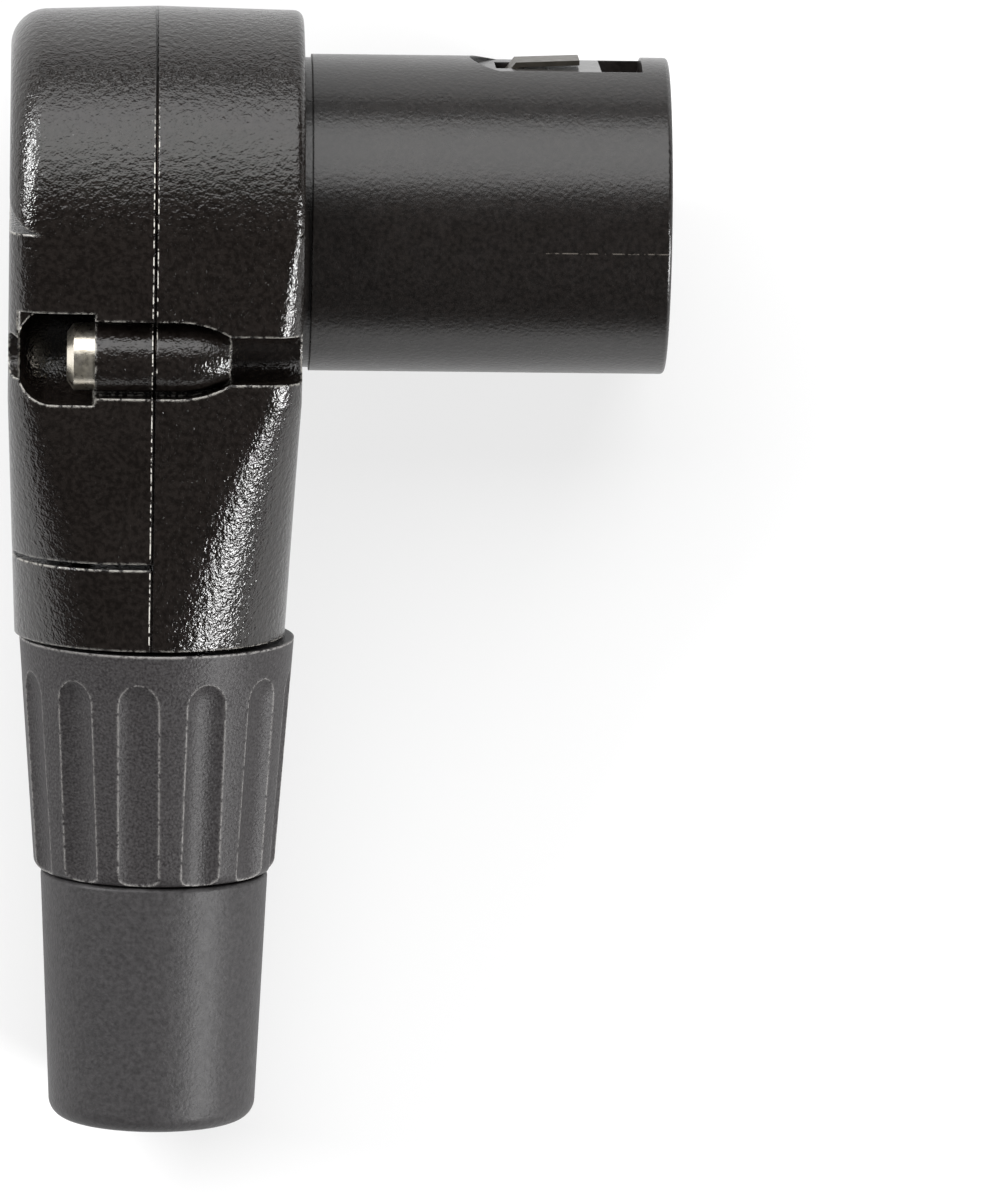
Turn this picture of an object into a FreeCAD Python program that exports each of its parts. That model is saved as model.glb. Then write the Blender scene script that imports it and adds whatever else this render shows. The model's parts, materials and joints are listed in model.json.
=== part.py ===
# Right-angle three-pin plug for a microphone lead, lying on its side
#
# Each piece is drawn in the plug's own axes: X runs along the barrel to its mouth, Y runs up
# the cable's axis to the top of the head, and Z comes out of the side that faces up at rest.
# The barrel's axis crosses the cable's axis at the origin. One placement then lays all pieces
# down as the plug comes to rest, on the flank of the head and the end of the boot.

import FreeCAD, Part
import math
import os
import re
import Sketcher
from FreeCAD import Placement, Rotation, Vector

# Sizes in millimetres and degrees. A size in words follows from others, so that the pieces
# keep together when one of them changes.
SIZES = {
    # Male shell, which sets the scale of the rest
    "shell_radius": 9.5,
    "shell_wall": 1.35,
    "shell_bore": "shell_radius - shell_wall",
    "shell_relief": 0.2,
    "shell_neck": "shell_radius - shell_relief",
    "aperture_clearance": 0.2,
    "relief_end": 0.5,
    "barrel_length": 21.86,
    "mouth_face": "front_face + barrel_length",
    "mouth_edge": 0.25,
    "flange_rim": 0.8,
    "flange_radius": "shell_radius + flange_rim",
    "flange_thickness": 1.5,
    "notch_clearance": 0.2,
    "flat_drop": 0.5,
    "flat_height": "shell_radius - flat_drop",
    "flat_length": 11.96,
    "flat_start": "mouth_face - flat_length",
    "window_rim": 1.64,
    "window_front": "mouth_face - window_rim",
    "window_length": 2.45,
    "window_half": 3.0,
    # Head and neck of the two die-cast halves
    "head_margin": 2.78,
    "head_radius": "shell_radius + head_margin",
    "front_face": 8.4,
    "rear_face": 9.1,
    "parting": 0.35,
    "front_draft": 1.2,
    "rear_draft": 2.0,
    "front_edge": 0.6,
    "rear_edge": 2.2,
    "wall": 1.7,
    "rib_root": 0.1,
    "overcut": 1.0,
    "neck_taper": 9.1,
    "front_taper": 2.63,
    "rear_taper": 1.95,
    "neck_margin": 0.1,
    "neck_upper": "flange_radius + neck_margin",
    "neck_shoulder": 4.1,
    "neck_middle": "neck_upper + neck_shoulder",
    "cover_drop": 9.7,
    "cover_end": "neck_upper + cover_drop",
    "cover_gap": 0.35,
    "ring_length": 5.4,
    "collar_end": "cover_end + ring_length",
    "corner_upper_front": 2.3,
    "corner_upper_rear": 3.2,
    "corner_middle": 4.4,
    "corner_lower": 6.4,
    "corner_collar": 7.8,
    "corner_inside": 0.6,
    # Pillars for the two cover screws, and the channel in each flank that shows them
    "screw_drop": 7.55,
    "screw_inset": 2.93,
    "screw_side": "head_radius - screw_inset",
    "screw_seat": 3.6,
    "screw_length": 8.0,
    "screw_radius": 1.15,
    "screw_thread": 0.23,
    "screw_core": "screw_radius - screw_thread",
    "screw_lead": 0.3,
    "screw_clearance": 0.2,
    "head_inset": 0.1,
    "screw_head_radius": "boss_radius - head_inset",
    "screw_head_height": 1.65,
    "screw_dome": 0.4,
    "screw_round": 0.56,
    "screw_crown": "screw_head_radius - screw_round",
    "recess_depth": 0.9,
    "recess_reach": 1.15,
    "recess_half": 0.28,
    "boss_radius": 2.1,
    "boss_straight": 1.4,
    "boss_length": 4.45,
    "boss_end_radius": 1.5,
    "boss_sweep": 7.5,
    "channel_gap": 0.25,
    "channel_half": "boss_radius + channel_gap",
    "channel_sweep": 6.0,
    "groove_half": 1.45,
    "pocket_gap": 0.7,
    "pocket_half": "boss_radius + pocket_gap",
    "pocket_wall": 0.6,
    "pocket_round": 2.0,
    "pillar_wall": 0.8,
    "pillar_root": 0.75,
    # Threaded spigot under the collar, and the seat that closes the clamp's jaws
    "spigot_radius": 6.6,
    "spigot_length": 9.3,
    "spigot_end": "collar_end + spigot_length",
    "spigot_wall": 1.3,
    "spigot_bore": "spigot_radius - spigot_wall",
    "spigot_chamfer": 0.5,
    "hook_room": 1.9,
    "throat_top": "cover_end + hook_room",
    "throat_step": 0.7,
    "throat_radius": "spigot_bore - throat_step",
    "throat_length": 1.5,
    "seat_top": "throat_top + throat_length",
    "seat_length": 3.0,
    "seat_end": "seat_top + seat_length",
    # Hook of the cover that reaches under the housing's collar ring
    "hook_margin": 0.2,
    "hook_bore": "spigot_radius + hook_margin",
    "hook_wall": 0.9,
    "hook_clearance": 0.1,
    "hook_reach": 1.2,
    "hook_half": 4.2,
    # Contact insert and its three pins
    "insert_clearance": 0.05,
    "socket_depth": 12.96,
    "insert_front": "mouth_face - socket_depth",
    "insert_rear": 1.2,
    "shoulder_step": 0.45,
    "shoulder_radius": "shell_bore + shoulder_step",
    "shoulder_thickness": 1.5,
    "insert_boss_step": 1.6,
    "insert_boss_radius": "shoulder_radius - insert_boss_step",
    "key_half": 1.7,
    "key_depth": 0.7,
    "key_length": 2.6,
    "pin_radius": 1.2,
    "pin_rise": 1.85,
    "pin_side": 3.5,
    "pin_low": 3.96,
    "tip_recess": 2.0,
    "tip_nose": 0.9,
    "tip_face": 0.45,
    "tip_sweep": 1.1,
    "shank_step": 0.25,
    "pin_shank": "pin_radius + shank_step",
    "pin_collar_step": 0.45,
    "pin_collar_radius": "pin_shank + pin_collar_step",
    "pin_collar_length": 0.8,
    "cup_step": 0.1,
    "cup_radius": "pin_shank + cup_step",
    "cup_wall": 0.4,
    "cup_bore": "cup_radius - cup_wall",
    "cup_length": 4.4,
    "cup_depth": 3.6,
    "cup_opening": 2.6,
    "cup_lip": 0.3,
    "pin_fit": 0.02,
    # Earth strip between the insert and the shell
    "strip_half": 1.5,
    "strip_thickness": 0.3,
    "strip_bed": 0.5,
    "strip_rest": "shell_bore - strip_bed",
    "strip_side_clearance": 0.12,
    "strip_tail": 2.5,
    "strip_run": 2.9,
    "strip_bend": "insert_front + strip_run",
    "strip_bend_length": 1.1,
    "strip_leaf": 3.6,
    "strip_tip": "strip_bend + strip_bend_length + strip_leaf",
    "strip_flat_gap": 0.05,
    "strip_rise": "flat_height + strip_flat_gap",
    "strip_lift": 0.16,
    "strip_lap": "0.7 * strip_thickness",
    "slot_lead": 0.3,
    "strip_slot_start": "strip_bend - slot_lead",
    "strip_slot_length": 1.8,
    # Cable clamp with spring jaws
    "chuck_clearance": 0.1,
    "chuck_rise": 0.2,
    "chuck_top": "seat_top - chuck_rise",
    "chuck_nose_gap": 0.15,
    "chuck_nose": "throat_radius - chuck_nose_gap",
    "chuck_nose_wall": 0.65,
    "chuck_bore": "chuck_nose - chuck_nose_wall",
    "chuck_seat_gap": 0.5,
    "chuck_shoulder": "seat_end + chuck_seat_gap",
    "chuck_flange_step": 0.3,
    "chuck_flange_radius": "spigot_radius - chuck_flange_step",
    "chuck_flange": 1.1,
    "jaw_slot_half": 0.45,
    "jaw_slot_length": 5.5,
    "jaw_slot_end": "chuck_shoulder + jaw_slot_length",
    "jaw_tooth": 0.35,
    "jaw_tooth_pitch": 1.5,
    "jaw_teeth": 4,
    # Fluted clamping collar
    "collar_turn": 7.0,
    "collar_gap": 0.3,
    "collar_wall": 1.69,
    "rim_radius": "spigot_radius + collar_wall",
    "collar_fall": 1.04,
    "foot_radius": "rim_radius - collar_fall",
    "collar_length": 14.26,
    "foot_face": "collar_end + collar_gap + collar_length",
    "foot_edge": 0.7,
    "thread_clearance": 0.05,
    "floor_gap": 0.28,
    "collar_floor": "spigot_end + chuck_flange + boot_gap + boot_flange + floor_gap",
    "flute_radius": 2.5,
    "flute_depth": 0.42,
    "flute_lead": 0.85,
    "flute_count": 12,
    # Rubber boot
    "boot_gap": 0.12,
    "boot_running": 0.3,
    "boot_flange_step": 0.3,
    "boot_flange_radius": "spigot_radius - boot_flange_step",
    "boot_neck_step": 0.7,
    "boot_neck_radius": "boot_flange_radius - boot_neck_step",
    "boot_flange": 1.0,
    "boot_step": 0.38,
    "boot_top_radius": "foot_radius - boot_step",
    "boot_fall": 0.67,
    "boot_end_radius": "boot_top_radius - boot_fall",
    "boot_length": 15.29,
    "boot_end": "foot_face + boot_length",
    "boot_top_edge": 0.25,
    "boot_end_edge": 1.2,
    "cable_hole_step": 0.2,
    "cable_hole": "chuck_bore - cable_hole_step",
    "cable_lead_in": 0.7,
    # Ribs in the cover that press the insert home
    "rib_thickness": 1.1,
    "rib_gap": 0.4,
    "rib_inner": "insert_boss_radius + rib_gap",
    "rib_drop": 0.68,
    "rib_outer": "head_radius - wall - rib_drop",
    "rib_first_angle": 48.0,
    "rib_second_angle": 92.0,
}

document = FreeCAD.newDocument("AnglePlug")
sheet = document.addObject("Spreadsheet::Sheet", "Sizes")
for row, name in enumerate(SIZES, start=1):
    sheet.set("A%d" % row, name.replace("_", " "))
    sheet.setAlias("B%d" % row, name)
for row, given in enumerate(SIZES.values(), start=1):
    sheet.set("B%d" % row, "=" + given if isinstance(given, str) else str(given))
document.recompute()


def size(name):
    return float(getattr(sheet, name))


def sized(text):
    """An expression in plain size names, with each name pointed at its cell."""
    def point(word):
        return "Sizes." + word.group() if word.group() in SIZES else word.group()
    return re.sub(r"[a-z][a-z_]+", point, text)


# Places that several pieces share, as expressions of the sizes above
PARTING = "-parting"
INNER_FRONT = "front_face - wall"
FLANGE_REAR = "front_face - wall - flange_thickness"
SEAT = "-parting - screw_seat"
NECK_START = "head_radius * sin(neck_taper * 1 deg)"
CHUCK_FOOT = "spigot_end + chuck_flange"
BOOT_FLANGE_TOP = "spigot_end + chuck_flange + boot_gap"
PILLAR = "channel_half + pillar_wall"

# A half-round end is drawn a hair over half its width, so that its arc has one solution
HALF_ROUND = 1.0001
# How near two measured places or widths are when they count as the same
SAME_PLACE = 0.02
SAME_WIDTH = 0.05


# Sketches
def origin_plane(body, role):
    return [feature for feature in body.Origin.OriginFeatures if feature.Role == role][0]


def sketch_on(body, name, role, shift=("0", "0", "0"), turn=0.0):
    """A sketch on one of the body's own planes, moved by three expressions in its own axes."""
    sketch = body.newObject("Sketcher::SketchObject", name)
    sketch.AttachmentSupport = [(origin_plane(body, role), "")]
    sketch.MapMode = "FlatFace"
    sketch.AttachmentOffset = Placement(Vector(0, 0, 0), Rotation(Vector(0, 0, 1), turn))
    for axis, text in zip("xyz", shift):
        if text != "0":
            sketch.setExpression("AttachmentOffset.Base." + axis, sized(text))
    return sketch


def value(sketch, text):
    return float(sketch.evalExpression(sized(text)))


def pin_down(sketch, kind, geometry, point, text):
    """One coordinate of a point, tied to an expression."""
    number = sketch.addConstraint(Sketcher.Constraint(kind, -1, 1, geometry, point, value(sketch, text)))
    tie(sketch, number, text)


def tie(sketch, number, text):
    if text != "0":
        sketch.renameConstraint(number, "size%d" % number)
        sketch.setExpression("Constraints.size%d" % number, sized(text))


def outline(sketch, corners):
    """A closed outline. A third entry makes the side that leaves a corner an arc of that
    radius, with its centre on the left of the way round, or on the right after a minus sign."""
    places = [Vector(value(sketch, corner[0]), value(sketch, corner[1]), 0) for corner in corners]
    sides = []
    for number, corner in enumerate(corners):
        start = places[number]
        finish = places[(number + 1) % len(places)]
        if len(corner) == 2:
            sides.append((sketch.addGeometry(Part.LineSegment(start, finish), False), 1, 2))
            continue
        radius = value(sketch, corner[2].lstrip("-"))
        left = not corner[2].startswith("-")
        chord = finish - start
        depth = math.sqrt(max(radius ** 2 - chord.Length ** 2 / 4, 0))
        across = Vector(-chord.y, chord.x, 0).normalize() * (depth if left else -depth)
        centre = (start + finish) * 0.5 + across
        first, last = (start, finish) if left else (finish, start)
        angles = [math.atan2(end.y - centre.y, end.x - centre.x) for end in (first, last)]
        arc = Part.ArcOfCircle(Part.Circle(centre, Vector(0, 0, 1), radius), *angles)
        geometry = sketch.addGeometry(arc, False)
        sides.append((geometry, 1, 2) if left else (geometry, 2, 1))
        number = sketch.addConstraint(Sketcher.Constraint("Radius", geometry, radius))
        tie(sketch, number, corner[2].lstrip("-"))
    for number, corner in enumerate(corners):
        here = sides[number]
        following = sides[(number + 1) % len(sides)]
        ends = (here[0], here[2], following[0], following[1])
        sketch.addConstraint(Sketcher.Constraint("Coincident", *ends))
        pin_down(sketch, "DistanceX", here[0], here[1], corner[0])
        pin_down(sketch, "DistanceY", here[0], here[1], corner[1])


def circle(sketch, across, along, radius):
    centre = Vector(value(sketch, across), value(sketch, along), 0)
    geometry = sketch.addGeometry(Part.Circle(centre, Vector(0, 0, 1), value(sketch, radius)), False)
    pin_down(sketch, "DistanceX", geometry, 3, across)
    pin_down(sketch, "DistanceY", geometry, 3, along)
    number = sketch.addConstraint(Sketcher.Constraint("Radius", geometry, value(sketch, radius)))
    tie(sketch, number, radius)


def box(sketch, left, right, low, high):
    outline(sketch, [(left, low), (right, low), (right, high), (left, high)])


def half_section(sketch, flat, reach, half, corner, lean):
    """Half of the neck's cross-section: flat on the parting plane, two leaning sides, and a
    far side that meets them in round corners."""
    flat_at, reach_at, half_at, corner_at = (value(sketch, text) for text in (flat, reach, half, corner))
    low, high, turn = -half_at, half_at, math.pi / 2
    near = reach_at - corner_at
    lines = [
        (Vector(flat_at, high, 0), Vector(flat_at, low, 0)),
        (Vector(flat_at, low, 0), Vector(near, low, 0)),
        (Vector(reach_at, low + corner_at, 0), Vector(reach_at, high - corner_at, 0)),
        (Vector(flat_at, high, 0), Vector(near, high, 0)),
    ]
    flat_side, low_side, far_side, high_side = (
        sketch.addGeometry(Part.LineSegment(*line), False) for line in lines)
    low_circle = Part.Circle(Vector(near, low + corner_at, 0), Vector(0, 0, 1), corner_at)
    high_circle = Part.Circle(Vector(near, high - corner_at, 0), Vector(0, 0, 1), corner_at)
    low_arc = sketch.addGeometry(Part.ArcOfCircle(low_circle, -turn, 0), False)
    high_arc = sketch.addGeometry(Part.ArcOfCircle(high_circle, 0, turn), False)
    joined = [(flat_side, 2, low_side, 1), (flat_side, 1, high_side, 1)]
    smooth = [
        (low_side, 2, low_arc, 1), (low_arc, 2, far_side, 1),
        (far_side, 2, high_arc, 1), (high_arc, 2, high_side, 2),
    ]
    for ends in joined:
        sketch.addConstraint(Sketcher.Constraint("Coincident", *ends))
    for ends in smooth:
        sketch.addConstraint(Sketcher.Constraint("Tangent", *ends))
    sketch.addConstraint(Sketcher.Constraint("Symmetric", flat_side, 1, flat_side, 2, -1))
    sketch.addConstraint(Sketcher.Constraint("Symmetric", low_side, 2, high_side, 2, -1))
    sketch.addConstraint(Sketcher.Constraint("Vertical", far_side))
    pin_down(sketch, "DistanceX", flat_side, 1, flat)
    pin_down(sketch, "DistanceY", flat_side, 1, half)
    pin_down(sketch, "DistanceX", far_side, 1, reach)
    tie(sketch, sketch.addConstraint(Sketcher.Constraint("Radius", low_arc, corner_at)), corner)
    angle = math.radians(value(sketch, lean))
    tie(sketch, sketch.addConstraint(Sketcher.Constraint("Angle", low_side, angle)), "%s * 1 deg" % lean)


# Features
def settle(body, feature, cuts=False):
    """Recomputes, and makes sure that a cut took something away and an addition added."""
    document.recompute()
    if any(state in feature.State for state in ("Invalid", "Error")) or feature.Shape.isNull():
        raise RuntimeError("%s of %s failed" % (feature.Label, body.Label))
    previous = feature.BaseFeature
    if previous is not None and previous.Shape.Volume > 0:
        change = feature.Shape.Volume - previous.Shape.Volume
        if (change > -1e-6) if cuts else (change < 1e-6):
            raise RuntimeError("%s of %s changed nothing" % (feature.Label, body.Label))
    return feature


def extrude(body, kind, name, sketch, length=None, reverse=False, both=False):
    feature = body.newObject("PartDesign::" + kind, name)
    feature.Profile = sketch
    feature.Reversed = reverse
    if both:
        feature.SideType = "Symmetric"
    if length is None:
        feature.Type = "ThroughAll"
    else:
        feature.setExpression("Length", sized(length))
    return settle(body, feature, kind == "Pocket")


def pad(body, name, sketch, length, reverse=False, both=False):
    return extrude(body, "Pad", name, sketch, length, reverse, both)


def pocket(body, name, sketch, length=None, reverse=False, both=False):
    return extrude(body, "Pocket", name, sketch, length, reverse, both)


def turned(body, kind, name, sketch, axis="H_Axis", upper_half=False):
    feature = body.newObject("PartDesign::" + kind, name)
    feature.Profile = sketch
    feature.ReferenceAxis = (sketch, [axis])
    feature.Midplane = upper_half
    feature.Angle = 180 if upper_half else 360
    return settle(body, feature, kind == "Groove")


def lofted(body, kind, name, sketches, ruled=False):
    feature = body.newObject("PartDesign::" + kind, name)
    feature.Profile = sketches[0]
    feature.Sections = sketches[1:]
    feature.Ruled = ruled
    return settle(body, feature, kind == "SubtractiveLoft")


def mirrored(body, name, original, cuts):
    feature = body.newObject("PartDesign::Mirrored", name)
    feature.Originals = [original]
    feature.MirrorPlane = (origin_plane(body, "XY_Plane"), [""])
    body.Tip = feature
    return settle(body, feature, cuts)


def in_line(body, name, original, direction, spacing, count, cuts):
    feature = body.newObject("PartDesign::LinearPattern", name)
    feature.Originals = [original]
    feature.Direction = direction
    feature.Mode = "Spacing"
    feature.setExpression("Offset", sized(spacing))
    feature.setExpression("Occurrences", sized(count))
    body.Tip = feature
    return settle(body, feature, cuts)


def polar(body, name, original, role, angle, count, cuts):
    feature = body.newObject("PartDesign::PolarPattern", name)
    feature.Originals = [original]
    feature.Axis = (origin_plane(body, role), [""])
    feature.Angle = angle
    feature.setExpression("Occurrences", sized(count))
    body.Tip = feature
    return settle(body, feature, cuts)


def rounded(body, name, test, radius, kind="Fillet"):
    """Rounds or bevels the edges of the body's last feature that pass the test."""
    last = body.Tip
    edges = ["Edge%d" % number for number, edge in enumerate(last.Shape.Edges, start=1) if test(edge)]
    if not edges:
        raise RuntimeError("%s of %s found no edge" % (name, body.Label))
    feature = body.newObject("PartDesign::" + kind, name)
    feature.Base = (last, edges)
    feature.setExpression("Radius" if kind == "Fillet" else "Size", sized(radius))
    document.recompute()
    if any(state in feature.State for state in ("Invalid", "Error")) or feature.Shape.isNull():
        raise RuntimeError("%s of %s failed" % (name, body.Label))
    return feature


def new_body(name):
    body = document.addObject("PartDesign::Body", name)
    body.Label = name
    return body


def ring_edge(axis, place, radius):
    """A test for the round edges that circle the barrel's or the cable's axis at one place."""
    spread = {"x": (1, 2), "y": (0, 2)}[axis]
    along = "xy".index(axis)

    def test(edge):
        bound = edge.BoundBox
        low = (bound.XMin, bound.YMin, bound.ZMin)
        high = (bound.XMax, bound.YMax, bound.ZMax)
        flat = abs(low[along] - place) < SAME_PLACE and abs(high[along] - place) < SAME_PLACE
        wide = max(high[k] - low[k] for k in spread)
        return flat and abs(wide - 2 * radius) < SAME_WIDTH
    return test


# Shape shared by the two die-cast halves
def neck_sections(body, name, side, drops, corners, skin):
    """Cross-sections of the neck at the given depths below the barrel's axis. The front half
    reaches to +X and the rear half to -X, drawn in axes turned half round."""
    front = side == "front"
    flat = PARTING if front else "parting"
    sections = []
    for number, (drop, corner) in enumerate(zip(drops, corners)):
        turn = 0.0 if front else 180.0
        sketch = sketch_on(body, "%s%d" % (name, number), "XZ_Plane", ("0", "0", drop), turn)
        reach = "%s_face - max(%s - neck_upper; 0) * tan(%s_taper * 1 deg)" % (side, drop, side)
        cone = "(head_radius - (%s) * sin(neck_taper * 1 deg)) / cos(neck_taper * 1 deg)" % drop
        half = "min(head_radius; %s)" % cone
        if skin:
            reach = "%s - %s" % (reach, skin)
            half = "%s - %s" % (half, skin)
            corner = "max(%s - %s; corner_inside)" % (corner, skin)
        half_section(sketch, flat, reach, half, corner, side + "_draft")
        sections.append(sketch)
    return sections


DROPS = ["0", NECK_START, "neck_upper", "neck_middle", "cover_end", "collar_end"]
LOWER_CORNERS = ["corner_middle", "corner_lower", "corner_collar"]
FRONT_START = "(3 * front_edge + corner_upper_front) / 4"
REAR_START = "(3 * rear_edge + corner_upper_rear) / 4"
FRONT_CORNERS = ["front_edge", FRONT_START, "corner_upper_front"] + LOWER_CORNERS
REAR_CORNERS = ["rear_edge", REAR_START, "corner_upper_rear"] + LOWER_CORNERS


def neck(body, side, kind, drops, corners, skin):
    """The neck, straight beside the barrel and smoothly waisted from its lowest line down."""
    name = "NeckInside" if skin else "Neck"
    upper = neck_sections(body, name + "Upper", side, drops[:3], corners[:3], skin)
    lofted(body, kind, name + "UpperLoft", upper, ruled=True)
    lower = neck_sections(body, name + "Lower", side, drops[2:], corners[2:], skin)
    lofted(body, kind, name + "LowerLoft", lower)


def head_profile(sketch, side, skin):
    """Half-profile of the head, which each casting's draft narrows away from the parting."""
    front = side == "front"
    sign = "" if front else "-"
    face = "%s_face - %s" % (side, skin)
    far = "%s(%s)" % (sign, face)
    gap = "(%s + parting)" % face if front else "(%s - parting)" % face
    near_radius = "head_radius - %s" % skin
    far_radius = "%s - %s * tan(%s_draft * 1 deg)" % (near_radius, gap, side)
    corners = [(PARTING, "0"), (PARTING, near_radius), (far, far_radius), (far, "0")]
    outline(sketch, corners if not front else corners[::-1])


def screw_pillar(body, name, start, length, wall_radius, reverse):
    """Rounded rib that carries a screw down the inside of the flank."""
    shift = ("-screw_drop", "screw_side", start)
    sketch = sketch_on(body, name + "Sketch", "YZ_Plane", shift)
    lean = "(%s) * tan(neck_taper * 1 deg)" % wall_radius
    outline(sketch, [
        ("-(%s)" % wall_radius, "0", "(%s) * %s" % (wall_radius, HALF_ROUND)),
        ("%s" % wall_radius, "0"),
        ("%s" % wall_radius, "pillar_root + %s" % lean),
        ("-(%s)" % wall_radius, "pillar_root - %s" % lean),
    ])
    return pad(body, name, sketch, length, reverse)


# Front housing: one die casting with the head's front half, the collar ring and the spigot
def front_housing():
    body = new_body("front_housing")
    sketch = sketch_on(body, "HeadProfile", "XY_Plane")
    head_profile(sketch, "front", "0")
    turned(body, "Revolution", "Head", sketch, upper_half=True)
    rounded(body, "HeadEdge", ring_edge("x", size("front_face"), far_radius("front")), "front_edge")
    neck(body, "front", "AdditiveLoft", DROPS, FRONT_CORNERS, "")
    ring = neck_sections(body, "Ring", "rear", DROPS[4:], REAR_CORNERS[4:], "")
    lofted(body, "AdditiveLoft", "CollarRing", ring)
    sketch = sketch_on(body, "GapSketch", "XY_Plane")
    box(sketch, "-rear_face - overcut", PARTING, "-cover_end - cover_gap", "-cover_end + overcut")
    pocket(body, "CoverGap", sketch, "4 * head_radius", both=True)
    sketch = sketch_on(body, "SpigotSketch", "XZ_Plane", ("0", "0", "collar_end"))
    circle(sketch, "0", "0", "spigot_radius")
    pad(body, "Spigot", sketch, "spigot_end - collar_end")
    rounded(body, "SpigotLeadIn", ring_edge("y", -size("spigot_end"), size("spigot_radius")),
            "spigot_chamfer", "Chamfer")
    sketch = sketch_on(body, "ChamberProfile", "XY_Plane")
    head_profile(sketch, "front", "wall")
    turned(body, "Groove", "Chamber", sketch, upper_half=True)
    neck(body, "front", "SubtractiveLoft", DROPS[:5], FRONT_CORNERS[:5], "wall")
    sketch = sketch_on(body, "ThroatProfile", "XY_Plane")
    outline(sketch, [
        ("0", "-cover_end + overcut"), ("hook_bore", "-cover_end + overcut"),
        ("hook_bore", "-throat_top"), ("throat_radius", "-throat_top"),
        ("throat_radius", "-seat_top"), ("spigot_bore", "-seat_end"),
        ("spigot_bore", "-spigot_end - overcut"), ("0", "-spigot_end - overcut"),
    ])
    turned(body, "Groove", "Throat", sketch, "V_Axis")
    sketch = sketch_on(body, "ApertureSketch", "YZ_Plane", ("0", "0", "front_face - wall - overcut / 2"))
    circle(sketch, "0", "0", "shell_radius + aperture_clearance")
    pocket(body, "Aperture", sketch, reverse=True)
    pillar = screw_pillar(body, "Pillar", PARTING, "boss_length + groove_half / 2", PILLAR, False)
    reach = "front_face + parting - front_edge"
    groove_wall = screw_pillar(body, "GrooveWall", PARTING, reach, "groove_half + pillar_wall", False)
    mirrored(body, "PillarOther", pillar, False)
    mirrored(body, "GrooveWallOther", groove_wall, False)
    sketch = sketch_on(body, "ChannelSketch", "XY_Plane", ("0", "-screw_drop", "screw_side"))
    outline(sketch, [
        (PARTING, "-channel_half"),
        ("-parting + boss_straight", "-channel_half", "channel_sweep"),
        ("-parting + boss_length", "-groove_half"),
        ("front_face + overcut", "-groove_half"),
        ("front_face + overcut", "groove_half"),
        ("-parting + boss_length", "groove_half", "channel_sweep"),
        ("-parting + boss_straight", "channel_half"),
        (PARTING, "channel_half"),
    ])
    channel = pocket(body, "Channel", sketch, "head_radius", reverse=True)
    mirrored(body, "ChannelOther", channel, True)
    shift = ("-screw_drop", "screw_side", "-parting + boss_length")
    sketch = sketch_on(body, "GrooveSketch", "YZ_Plane", shift)
    circle(sketch, "0", "0", "groove_half")
    groove = pocket(body, "TipGroove", sketch, reverse=True)
    mirrored(body, "TipGrooveOther", groove, True)
    sketch = sketch_on(body, "BossProfile", "XY_Plane", ("0", "-screw_drop", "screw_side"))
    outline(sketch, [
        (PARTING, "0"),
        ("-parting + boss_length", "0"),
        ("-parting + boss_length", "boss_end_radius", "boss_sweep"),
        ("-parting + boss_straight", "boss_radius"),
        (PARTING, "boss_radius"),
    ])
    boss = turned(body, "Revolution", "Boss", sketch)
    mirrored(body, "BossOther", boss, False)
    shift = ("-screw_drop", "screw_side", "-parting - overcut")
    sketch = sketch_on(body, "ScrewHoleSketch", "YZ_Plane", shift)
    circle(sketch, "0", "0", "screw_radius")
    hole = pocket(body, "ScrewHole", sketch, reverse=True)
    mirrored(body, "ScrewHoleOther", hole, True)
    return body


def far_radius(side):
    parting = size("parting") if side == "front" else -size("parting")
    reach = size(side + "_face") + parting
    return size("head_radius") - reach * math.tan(math.radians(size(side + "_draft")))


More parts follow.
